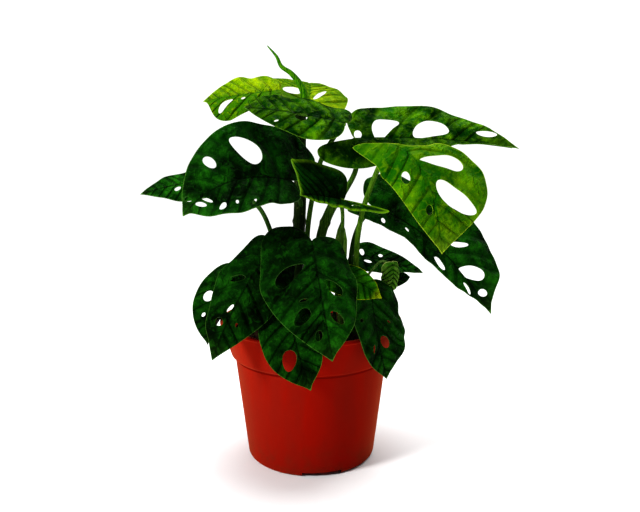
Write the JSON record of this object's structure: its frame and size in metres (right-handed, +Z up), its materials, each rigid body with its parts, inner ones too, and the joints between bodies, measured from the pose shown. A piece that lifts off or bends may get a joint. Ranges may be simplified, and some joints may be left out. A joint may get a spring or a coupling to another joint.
{
  "type": "potted monstera adansonii",
  "caption": "Young potted monstera with drooping perforated leaves on long petioles, in a thin round nursery pot with a flared rim band.",
  "frame": {"origin": "centre of the pot's foot, on the plane it stands on", "axes": "+Z up along the pot's axis; -Y is the front, where the leaves lean; +X to the right seen from the front"},
  "size_m": [0.243, 0.1475, 0.2683],
  "materials": {
    "pot_plastic": "satin",
    "potting_soil": "matte",
    "leaf_dark": "satin",
    "leaf_young": "satin",
    "stalk": "satin",
    "bud_sheath": "matte"
  },
  "bodies": {
    "root": {"leaf_centre": "leaf_dark", "leaf_front": "leaf_dark", "leaf_front_left": "leaf_dark", "leaf_left_back": "leaf_dark", "leaf_left_large": "leaf_dark", "leaf_left_low": "leaf_dark", "leaf_over_pot": "leaf_dark", "leaf_right_arching": "leaf_dark", "leaf_right_bright": "leaf_young", "leaf_right_low": "leaf_dark", "leaf_right_mid": "leaf_dark", "leaf_right_small": "leaf_dark", "leaf_right_tiny": "leaf_dark", "leaf_right_young": "leaf_young", "leaf_rolled": "leaf_young", "leaf_top_back_young": "leaf_young", "leaf_top_centre": "leaf_dark", "leaf_top_left_young": "leaf_young", "leaf_top_right": "leaf_dark", "petiole_centre": "stalk", "petiole_front": "stalk", "petiole_front_left": "stalk", "petiole_left_back": "stalk", "petiole_left_large": "stalk", "petiole_left_low": "stalk", "petiole_over_pot": "stalk", "petiole_right_arching": "stalk", "petiole_right_bright": "stalk", "petiole_right_low": "stalk", "petiole_right_mid": "stalk", "petiole_right_small": "stalk", "petiole_right_tiny": "stalk", "petiole_right_young": "stalk", "petiole_top_back_young": "stalk", "petiole_top_centre": "stalk", "petiole_top_left_young": "stalk", "petiole_top_right": "stalk", "pot": "pot_plastic", "sheath_centre": "bud_sheath", "soil": "potting_soil", "stem_centre": "stalk", "stem_right": "stalk"}
  },
  "joints": []
}
